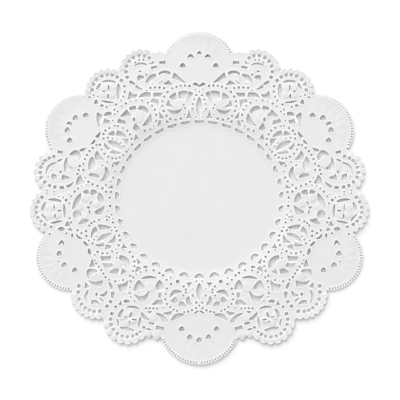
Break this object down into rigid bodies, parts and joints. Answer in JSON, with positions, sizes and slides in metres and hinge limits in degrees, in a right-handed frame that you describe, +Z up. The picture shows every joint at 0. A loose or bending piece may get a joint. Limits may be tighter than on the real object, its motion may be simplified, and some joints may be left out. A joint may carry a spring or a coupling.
{
  "type": "paper doily",
  "caption": "Round paper doily lying flat, one sheet with a scalloped edge of plain lobes and beaded medallions and open lacework around a plain middle.",
  "frame": {"origin": "middle of the doily's outline, on the surface that it lies on", "axes": "+Z up, +Y towards the lobe at the top of the picture, +X to the picture's right"},
  "size_m": [0.2534, 0.2477, 0.0012],
  "materials": {
    "paper": "matt white embossed paper"
  },
  "bodies": {
    "root": {"doily": "paper"}
  },
  "joints": []
}
